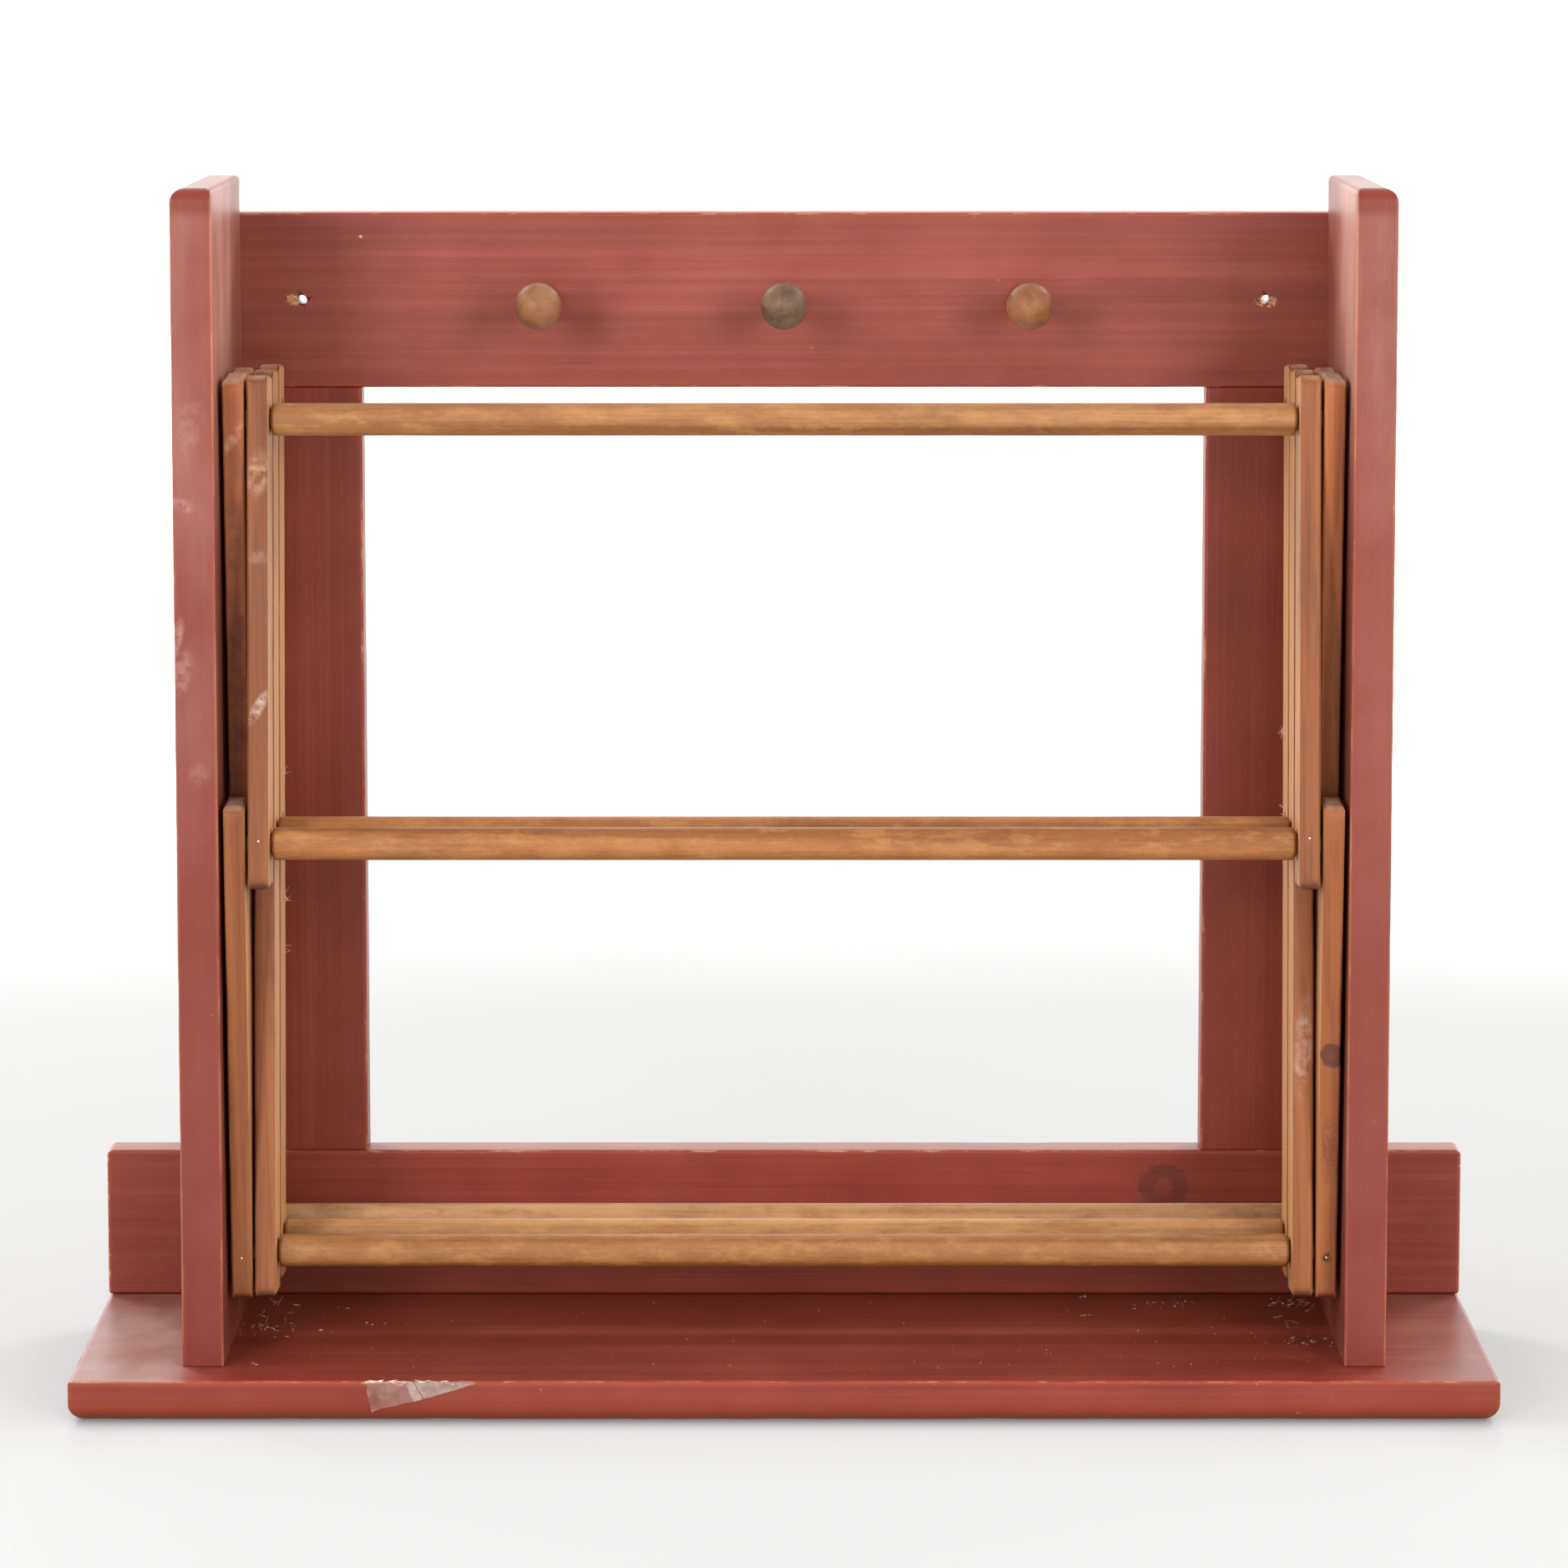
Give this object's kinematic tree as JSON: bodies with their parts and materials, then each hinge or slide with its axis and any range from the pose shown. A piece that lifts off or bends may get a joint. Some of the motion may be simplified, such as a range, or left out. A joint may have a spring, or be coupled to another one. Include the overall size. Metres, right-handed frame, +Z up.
{
  "type": "folding accordion drying rack",
  "caption": "Painted wooden shelf frame with turned pegs on its top rail and a pull-out accordion rack of slats and dowels between its side boards.",
  "frame": {"origin": "on the ground under the shelf, at the middle of the overall outline", "axes": "+Z up as the piece stands on its shelf, +X to the right along the shelf, -Y to the front, where the rack opens; the wall side is +Y"},
  "size_m": [0.648, 0.184, 0.556],
  "materials": {
    "red_paint": "worn brick-red milk paint over wood, satin",
    "slat_wood": "warm oiled hardwood slats, satin",
    "dowel_wood": "straw-brown birch dowel, satin",
    "peg_wood": "dark olive-brown varnished turned wood",
    "steel": "dull steel"
  },
  "bodies": {
    "frame": {"shelf": "red_paint", "shelf_back_board": "red_paint", "side_board_left": "red_paint", "side_board_right": "red_paint", "stile_left": "red_paint", "stile_right": "red_paint", "peg_rail": "red_paint", "peg_left": "peg_wood", "peg_middle": "peg_wood", "peg_right": "peg_wood", "frame_screws": "steel", "frame_nails": "steel"},
    "rear_outer": {"rear_outer_slat_left": "slat_wood", "rear_outer_slat_right": "slat_wood", "axle_dowel": "dowel_wood"},
    "rear_inner": {"rear_inner_slat_left": "slat_wood", "rear_inner_slat_right": "slat_wood", "lower_rear_dowel": "dowel_wood", "middle_pins": "dowel_wood", "guide_pins": "dowel_wood"},
    "front_outer": {"front_outer_slat_left": "slat_wood", "front_outer_slat_right": "slat_wood", "upper_front_dowel": "dowel_wood"},
    "front_inner": {"front_inner_slat_left": "slat_wood", "front_inner_slat_right": "slat_wood", "middle_rear_dowel": "dowel_wood", "upper_pins": "dowel_wood"},
    "upper_half": {"upper_half_slat_left": "slat_wood", "upper_half_slat_right": "slat_wood", "middle_front_dowel": "dowel_wood", "upper_half_brads": "steel"},
    "lower_half": {"lower_half_slat_left": "slat_wood", "lower_half_slat_right": "slat_wood", "lower_front_dowel": "dowel_wood", "lower_half_brads": "steel"}
  },
  "joints": [
    {"name": "rack_open", "type": "hinge", "parent": "frame", "child": "rear_outer", "pos_m": [0, 0.029, 0.066], "axis": [1, 0, 0], "range_deg": [0, 50]},
    {"name": "rear_cross", "type": "hinge", "parent": "rear_outer", "child": "rear_inner", "pos_m": [0, 0.013, 0.258], "axis": [1, 0, 0], "range_deg": [-100, 0]},
    {"name": "upper_rear_pivot", "type": "hinge", "parent": "rear_outer", "child": "front_inner", "pos_m": [0, -0.003, 0.45], "axis": [1, 0, 0], "range_deg": [-100, 0]},
    {"name": "lower_rear_pivot", "type": "hinge", "parent": "rear_inner", "child": "front_outer", "pos_m": [0, -0.003, 0.066], "axis": [1, 0, 0], "range_deg": [0, 100]},
    {"name": "upper_front_pivot", "type": "hinge", "parent": "front_outer", "child": "upper_half", "pos_m": [0, -0.035, 0.45], "axis": [1, 0, 0], "range_deg": [-100, 0]},
    {"name": "lower_front_pivot", "type": "hinge", "parent": "front_inner", "child": "lower_half", "pos_m": [0, -0.035, 0.066], "axis": [1, 0, 0], "range_deg": [0, 100]}
  ],
  "couplings": [
    {"joint": "rear_cross", "follows": "rack_open", "ratio": -2},
    {"joint": "upper_rear_pivot", "follows": "rack_open", "ratio": -2},
    {"joint": "lower_rear_pivot", "follows": "rack_open", "ratio": 2},
    {"joint": "upper_front_pivot", "follows": "rack_open", "ratio": -2},
    {"joint": "lower_front_pivot", "follows": "rack_open", "ratio": 2}
  ]
}
